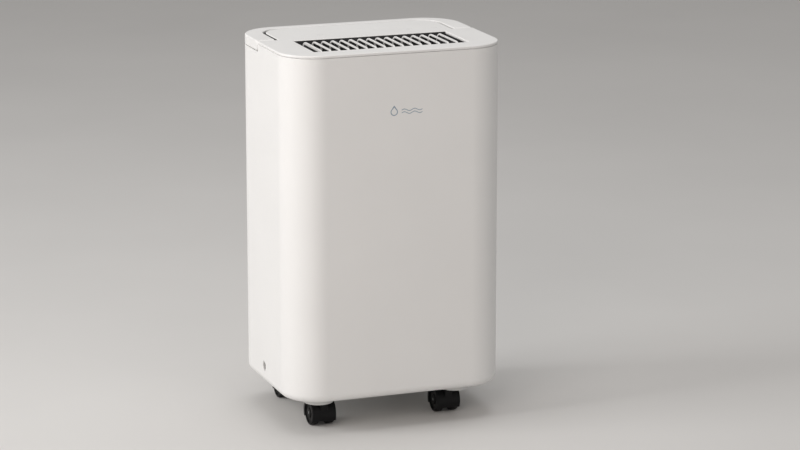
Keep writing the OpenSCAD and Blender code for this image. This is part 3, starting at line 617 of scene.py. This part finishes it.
def make_handle():
    """Carry handle: a bar swept round the deck, with half-round noses on the pivots."""
    mid_z, half_h, y0, soft = TOP - 5.9, 5.9, 21.5, 1.5
    half, back, r = DECK_HALF_W + 3.2, 83.5 + 3.2, 24 + 3.2
    steps, extra = CORNER_STEPS, 6

    def with_middle(loop, y):
        """Adds points along the straight rear run."""
        x = loop[steps + 1][0]
        return loop[:steps + 2] + [(x * (1 - 2 * i / extra), y) for i in range(1, extra)] + loop[steps + 2:]

    outer = with_middle(casing_loop(y0, 0, front=False), OUT_D)
    inner = with_middle([(half, y0)] + arc(half - r, back - r, r, 0, 90, steps)
                        + arc(r - half, back - r, r, 90, 180, steps) + [(-half, y0)], back)
    stations = [(o, i, half_h) for o, i in zip(outer, inner)]

    def nose(sx):
        """Stations round the half-round end at a pivot."""
        found = []
        for k in range(1, 9):
            t = math.radians(90 * k / 8 - 0.6 * (k == 8))
            y = y0 - half_h * math.sin(t)
            found.append(((sx * OUT_W, y), (sx * half, y), half_h * math.cos(t)))
        return found

    stations = nose(1)[::-1] + stations + nose(-1)
    bm, rings = bmesh.new(), []
    for (ox, oy), (ix, iy), h in stations:
        width = math.hypot(ox - ix, oy - iy)
        e = min(soft, h * 0.6)
        ring = []
        for cx, cz, start in ((width - e, h - e, 0), (e, h - e, 90), (e, e - h, 180), (width - e, e - h, 270)):
            for u, v in arc(cx, cz, e, start, start + 90, 4):
                share = u / width
                ring.append((ix + (ox - ix) * share, iy + (oy - iy) * share, min(mid_z + v, PRINT_TOP)))
        rings.append(ring)
    for first, second in zip(rings, rings[1:]):
        for i in range(len(first)):
            j = (i + 1) % len(first)
            add_face(bm, [first[i], first[j], second[j], second[i]])
    add_face(bm, rings[0])
    add_face(bm, rings[-1])
    cutters = [cylinder_cutter(3.1, (0, y0, mid_z), "x", 119.8, 32),
               box_cutter((-42, OUT_D - 6, mid_z - 8), (42, OUT_D + 3, mid_z + 0.1), 1.2)]
    to_piece(from_bmesh("carry_handle_bar", bm, cutters=cutters), "handle", "shell", ("carry_handle",))


def make_outlet():
    """Arched blades in a dark duct; the two outer ones are closed by dark panels. The duct's near-black is
    partly painted shade for the deep slot between the blades.
    """
    y0, y1, top, foot, r = -70.8, 1.3, TOP - 0.4, 413.8, 11

    def arch(inset):
        a = arc(y1 - r, top - r, r - inset, 0, 90, 10) + arc(y0 + r, top - r, r - inset, 90, 180, 10)
        return [(y1 - inset, foot)] + a + [(y0 + inset, foot)]

    def band(depth):
        return arch(0) + arch(depth)[::-1]

    pitch = 186 / 17
    xs = [pitch * i - 93 for i in range(1, 17)]
    ends = [(xs[0], 0, 0), (xs[-1], 0, 0)]
    plates("outlet_blades", [([band(2)], -1, 1, 0.35, "yz", [(x, 0, 0) for x in xs[1:]]),
                             ([band(3.3)], -1, 1, 0.35, "yz", ends[:1])],
           "casing", "shell", ("outlet_grille",))
    # The dark end panels fill the outer arches with near-black, partly painted shade for the gaps beside the
    # end blades.
    plates("outlet_cheeks", [([arch(1.5)], -0.6, 0.6, 0.1, "yz", ends)], "casing", "duct_plastic")


# ---------------------------------------------------------------- rear grille, filter and tank
def make_inlet():
    """Rear grille with slanted slats, and the filter's frame behind it."""
    z0, z1, half, border, front = 244, 404, 86, 9, 96.5
    holes = []
    xs = [-77, -39, 0, 39, 77]
    for a, b in zip(xs, xs[1:]):
        lo = a + (1.5 if a > -77 else 0)
        hi = b - (1.5 if b < 77 else 0)
        holes.append(rounded(lo, z0 + border, hi, z1 - border, 1.5, 3))
    frame_loops = [rounded(-half, z0, half, z1, 2.5, 5)] + holes
    slats = 17
    pitch = (z1 - z0 - 2 * border) / slats
    cos, sin = math.cos(math.radians(24)), math.sin(math.radians(24))
    section = [(min(98.2 + u * cos + v * sin, OUT_D - 0.25), v * cos - u * sin)
               for u, v in rounded(-1.9, -0.75, 1.9, 0.75, 0.7, 3)]
    offsets = [(0, 0, z0 + border + i * pitch) for i in range(1, slats)]
    plates("inlet_louvre", [(frame_loops, front, OUT_D, 0.7, "xz", HERE),
                            ([section], -77.5, 77.5, 0.01, "yz", offsets)],
           "inlet_filter", "shell_rear", ("inlet_grille",))
    tray = [rounded(-81, z0 + 4, 81, z1 - 4, 4, 5)]
    for x in (-75, -25, 25):
        for z in (z0 + 10, (z0 + z1) / 2):
            tray.append(rounded(x + 1.5, z + 1.5, x + 48.5, z + 68.5, 2, 4))
    plates("filter_tray", [(tray, 89, 94, 0.8, "xz", HERE)],
           "inlet_filter", "dark_plastic", ("filter_frame",))


def make_net():
    """Filter net of crossing threads."""
    bm = bmesh.new()
    x0, x1, z0, z1, y = -75, 75, 254, 394, 91.4
    step, wide = 2.0, 0.45
    for i in range(int((x1 - x0) / step) + 1):
        x = x0 + i * step
        add_face(bm, [(x, y, z0), (x + wide, y, z0), (x + wide, y, z1), (x, y, z1)])
    for i in range(int((z1 - z0) / step) + 1):
        z = z0 + i * step
        add_face(bm, [(x0, y + 0.1, z), (x1, y + 0.1, z), (x1, y + 0.1, z + wide), (x0, y + 0.1, z + wide)])
    bmesh.ops.solidify(bm, geom=bm.faces[:], thickness=0.25)
    to_piece(from_bmesh("filter_net", bm), "inlet_filter", "filter_mesh", ("filter_mesh",))


def cup_bmesh(bm, loop, lower, upper, wall, soft, plane="xy"):
    """An open box with rounded corners: loop(inset) gives its outline."""
    put = PLANES[plane]
    sign = 1 if upper > lower else -1
    rows = [(soft, lower), (soft * 0.3, lower + sign * soft * 0.3), (0, lower + sign * soft), (0, upper),
            (wall, upper), (wall, lower + sign * (wall + soft)),
            (wall + soft * 0.3, lower + sign * (wall + soft * 0.3)), (wall + soft, lower + sign * wall)]
    rings = [[put(u, v, w) for u, v in loop(inset)] for inset, w in rows]
    for first, second in zip(rings, rings[1:]):
        for i in range(len(first)):
            j = (i + 1) % len(first)
            add_face(bm, [first[i], first[j], second[j], second[i]])
    add_face(bm, rings[0])
    add_face(bm, rings[-1])
    return bm


def make_tank():
    """Ribbed tank with its cover, float bracket, front panel, grip pocket and level window."""
    bm = cup_bmesh(bmesh.new(), lambda i: rounded(i - 85, 9 + i, 85 - i, 96.5 - i, 7.5 - i, 6),
                   56, 189.8, 2, 2.5)
    for x in (-60, -20, 20, 60):
        add_copies(bm, plate_bmesh([rounded(x - 1.5, 64, x + 1.5, 184, 1.4, 3)], 8.6, 9.1, 0.15, "xz"), HERE)
    to_piece(from_bmesh("tank_tub", bm, 0.3), "tank", "clear_tank", ("water_tank",))
    hole = arc(20, 50, 11, 0, 350, 35)
    plates("tank_cover", [([rounded(-85, 9, 85, 96.5, 7.5, 6), hole], 190, 193, 0.8, "xy", HERE),
                          ([arc(20, 50, 14, 0, 355, 40), hole], 192, 194.6, 0.6, "xy", HERE)],
           "tank", "inner_plastic", ("tank_lid",))
    bracket = [rounded(19, 175, 29, 191, 1.5, 3), arc(24, 180, 2.1, 0, 345, 24)]
    for x in (-67, -46):
        plates("float_bracket_%d" % abs(x), [(bracket, x, x + 3, 0.3, "yz", HERE)], "tank", "inner_plastic")
    face = [rounded(-86, 54, 86, 220, 3, 5), rounded(-45, 196, 45, 217, 5, 6),
            rounded(62, 70, 70, 184, 3.9, 6)]
    plates("tank_front", [(face, 97, OUT_D, 0.8, "xz", HERE)], "tank", "shell_rear", ("tank_face",))
    pocket = cup_bmesh(bmesh.new(),
                       lambda i: rounded(i - 46.5, 194.5 + i, 46.5 - i, 218.5 - i, 6 - i, 6),
                       76, 97.4, 1.5, 2, "xz")
    to_piece(from_bmesh("tank_grip", pocket, 0.2), "tank", "shell_rear")
    plates("tank_gauge", [([rounded(62.1, 70.1, 69.9, 183.9, 3.8, 6)], 97, 99.3, 0.6, "xz", HERE)],
           "tank", "window", ("level_window",))
    ticks = [([rounded(55 if i % 2 else 52, -0.35, 59.5, 0.35, 0.2, 2)],
              OUT_D - 0.01, OUT_D + 0.035, 0.01, "xz", [(0, 0, 80 + 12 * i)]) for i in range(9)]
    plates("tank_ticks", ticks, "tank", "shell_rear", material=PRINT_GREY)


# ---------------------------------------------------------------- small parts
def make_screws():
    """Pan-head screws with a cross recess."""
    def head(center, axis, radius, height, sign):
        profile = [(-sign * 6, 0), (-sign * 6, 1.6), (0, 1.6), (0, radius),
                   (sign * height * 0.5, radius * 0.98), (sign * height * 0.85, radius * 0.8),
                   (sign * height, radius * 0.45), (sign * height, 0)]
        bm = lathe_bmesh(bmesh.new(), profile, center, axis, 28, closed=False)
        cx, cy, cz = center
        arms = []
        for u, v in ((radius * 0.55, 0.5), (0.5, radius * 0.55)):
            if axis == "y":
                low, high = (cx - u, cy + height * 0.35, cz - v), (cx + u, cy + height + 1, cz + v)
            else:
                low, high = (cx - u, cy - v, cz - height - 1), (cx + u, cy + v, cz - height * 0.35)
            arms.append(box_cutter(low, high))
        return from_bmesh("screw", bm, cutters=arms)

    for index, (x, z) in enumerate(((-76, 232), (76, 232), (-76, 412), (76, 412))):
        made = head((x, 98, z), "y", 3.7, 1.7, 1)
        made.name = "rear_screw_%d" % index
        to_piece(made, "casing", "steel", ("cover_screws",) if index == 0 else ())
    for index, (x, y) in enumerate(((110, 0), (-110, 0), (25, -80), (-25, -80), (25, 80), (-25, 80))):
        made = head((x, y, BASE + 1.8), "z", 3.9, 1.5, -1)
        made.name = "base_screw_%d" % index
        to_piece(made, "casing", "steel", ("base_screws",) if index == 0 else ())


def make_ports():
    """Drain port and cord grommet."""
    turned("drain_port", [(0.5, 4.6), (0.5, 5.0), (1.0, 5.9), (6, 5.9), (24, 5.9), (24, 4.6)],
           (-132, 3, BASE + 21.5), "x", "casing", "inner_plastic", ("drain_socket",), 0.25)
    turned("cord_grommet", [(-12, 3.5), (-12, 6.9), (-3.4, 6.9), (-1.2, 6.9), (-0.3, 6.3), (-0.1, 5.4),
                            (-0.1, 4.2), (-0.8, 3.5)],
           (50, 100, 233.5), "y", "casing", "dark_plastic", ("cable_gland",), 0.2)


def make_casters():
    """Twin-wheel casters: mudguard, web between the wheels, stem and wheels."""
    trail, axle_z = 8, 14.5
    hood = [(-14.6, 12.2), (-14.6, 15.6), (-14.3, 16.3), (-13.6, 16.7), (13.6, 16.7), (14.3, 16.3),
            (14.6, 15.6), (14.6, 12.2), (14.2, 12.2), (14.2, 15), (-14.2, 15), (-14.2, 12.2)]
    web = [(-8, 31), (-8, 18)] + arc(trail, axle_z, 10.3, 165, 340, 30) + arc(trail, axle_z, 15.6, 350, 450, 20)
    stem = [(29.3, 0), (29.3, 9), (31.3, 9), (31.3, 4), (48.5, 4), (49, 3.5), (49, 0)]
    rim = [(5, 2.05), (5, 13.4), (5.4, 14.1), (6.2, 14.45), (9.5, 14.5), (12.6, 14.4), (13.5, 14),
           (14, 13.1), (14, 12.2), (13.7, 11.8), (12.7, 11.6), (12.5, 11.2), (12.5, 6.6), (12.8, 6.2),
           (13.8, 5.9), (14, 5.5), (14, 2.05)]
    for name, cx, cy in (("fl", -82, -59), ("fr", 72, -59), ("rl", -82, 59), ("rr", 72, 59)):
        hub = (cx, cy + trail, axle_z)
        body = "caster_" + name
        turned("hood_" + name, hood, hub, "x", body, "caster_plastic", (body,), 0.15, 40, start=-28, stop=208)
        plates("web_" + name, [([[(y + cy, z) for y, z in web]], cx - 4.4, cx + 4.4, 0.6, "yz", HERE)],
               body, "caster_plastic")
        turned("stem_" + name, stem, (cx, cy, 0), "z", body, "steel", (), 0.2, closed=False)
        for side, sign in (("l", -1), ("r", 1)):
            wheel = "wheel_%s_%s" % (name, side)
            turned("tyre_%s_%s" % (name, side), [(sign * a, r) for a, r in rim], hub, "x",
                   wheel, "wheel_tread", (wheel,), 0.0, 56)


def make_coils():
    """Dense aluminium fins on the two coils."""
    for name, y in (("evaporator_fins", 72), ("condenser_fins", 46)):
        bm = bmesh.new()
        fin = plate_bmesh([rounded(y - 10, 240, y + 10, 400, 0.5, 2)], -0.12, 0.12, 0.02, "yz", 0)
        add_copies(bm, fin, [(-85 + i * 1.7, 0, 0) for i in range(101)])
        to_piece(from_bmesh(name + "_stack", bm), "casing", "fin_aluminium", (name,))


def make_marks():
    """A plain droplet over two waves on the front, and faint touch keys on the deck."""
    y1 = -HALF_D
    drop = [(0, 7.5)] + arc(0, 0, 4.4, 35, -215, 24)
    waves = []
    for z in (-1.6, 1.6):
        line = [(9 + 25 * i / 40, z + 1.1 * math.sin(2 * math.pi * i / 20)) for i in range(41)]
        waves.append([(x, v - 0.45) for x, v in line] + [(x, v + 0.45) for x, v in line[::-1]])
    inner = [(0, 5.2)] + arc(0, 0, 3.3, 35, -215, 24)
    parts = [([drop, inner], y1, y1 + 0.06, 0.01, "xz", [(-8, 0, 372.5)])]
    parts += [([wave], y1, y1 + 0.06, 0.01, "xz", [(-8, 0, 372.5)]) for wave in waves]
    plates("front_mark", parts, "casing", "shell", material=MARK_BLUE)
    keys = []
    for x in (-52, 58, 89):
        for loops in ([arc(x, 29, 3.2, 0, 350, 35), arc(x, 29, 2.8, 0, 350, 35)],
                      [rounded(x - 0.25, 28.2, x + 0.25, 30.2, 0.2, 2)]):
            keys.append((loops, TOP - 0.06, TOP, 0.01, "xy", HERE))
    plates("touch_keys", keys, "casing", "shell", material=KEY_GREY)


make_front_shell()
make_rear_shell()
make_top_moulding()
make_handle()
make_outlet()
make_inlet()
make_net()
make_tank()
make_screws()
make_ports()
make_casters()
make_coils()
make_marks()
for node, width in (("base_pan", 0.5), ("chassis", 0.3), ("tank_float", 0.8), ("drip_tray", 0.4),
                    ("board_box", 0.5)):
    refined(node, width)

for node, obj in nodes.items():
    obj.data.materials.clear()
    obj.data.materials.append(MATERIALS[node_slot[node]])

# ---------------------------------------------------------------- floor, light and camera
FLOOR_HALF = 4.0


def make_floor():
    """A plain pale floor."""
    bm = bmesh.new()
    bmesh.ops.create_grid(bm, x_segments=8, y_segments=8, size=FLOOR_HALF / MM)
    obj = from_bmesh("floor", bm)
    s = Shader("floor_paint", (0.64, 0.63, 0.615), 0.6)
    s.tint(s.noise(2.5, 5), 0.02)
    s.bump(s.noise(60, 4), 0.05)
    obj.data.materials.append(s.material)


def area_light(name, place, target, size, power, color=(1, 1, 1)):
    """A soft rectangular light turned towards a target."""
    data = bpy.data.lights.new(name, "AREA")
    data.shape = "RECTANGLE"
    data.size, data.size_y = size
    data.energy = power
    data.color = color
    obj = bpy.data.objects.new(name, data)
    obj.location = place
    obj.rotation_mode = "QUATERNION"
    obj.rotation_quaternion = (Vector(target) - Vector(place)).to_track_quat("-Z", "Y")
    scene.collection.objects.link(obj)


def make_lights():
    """Soft studio light: strong from the left, weaker from the front left and from above."""
    middle = (0, 0, 0.24)
    area_light("key", (-2.6, 0.1, 1.5), middle, (1.2, 1.6), 42)
    area_light("front_fill", (-1.25, -1.45, 1.05), middle, (1.2, 0.9), 12.5, (1.0, 0.92, 0.87))
    area_light("overhead", (0.1, 0.2, 2.6), middle, (1.6, 1.6), 17)
    world = bpy.data.worlds.new("world")
    world.use_nodes = True
    world.node_tree.nodes["Background"].inputs["Color"].default_value = (0.9, 0.88, 0.865, 1)
    world.node_tree.nodes["Background"].inputs["Strength"].default_value = 0.45
    scene.world = world


CAMERA_AZIMUTH = math.radians(-19.8)
CAMERA_ELEVATION = math.radians(13.24)
CAMERA_DISTANCE = 3.614
CAMERA_LENS = 139.4
AIM_RIGHT = 0.0337
AIM_UP = -0.0211


def make_camera():
    """Long lens from the front left, a little above."""
    target = Vector((0, 0, (BASE + TOP) / 2 * MM))
    a, e = CAMERA_AZIMUTH, CAMERA_ELEVATION
    back = Vector((math.sin(a) * math.cos(e), -math.cos(a) * math.cos(e), math.sin(e)))
    place = target + back * CAMERA_DISTANCE
    right = Vector((math.cos(a), math.sin(a), 0))
    aim = target + right * AIM_RIGHT + back.cross(right) * AIM_UP
    data = bpy.data.cameras.new("camera")
    data.lens = CAMERA_LENS
    data.sensor_width = 36
    data.clip_end = 50
    obj = bpy.data.objects.new("camera", data)
    obj.location = place
    obj.rotation_mode = "QUATERNION"
    obj.rotation_quaternion = (aim - place).to_track_quat("-Z", "Y")
    scene.collection.objects.link(obj)
    scene.camera = obj


make_floor()
make_lights()
make_camera()
scene.view_settings.view_transform = "Standard"
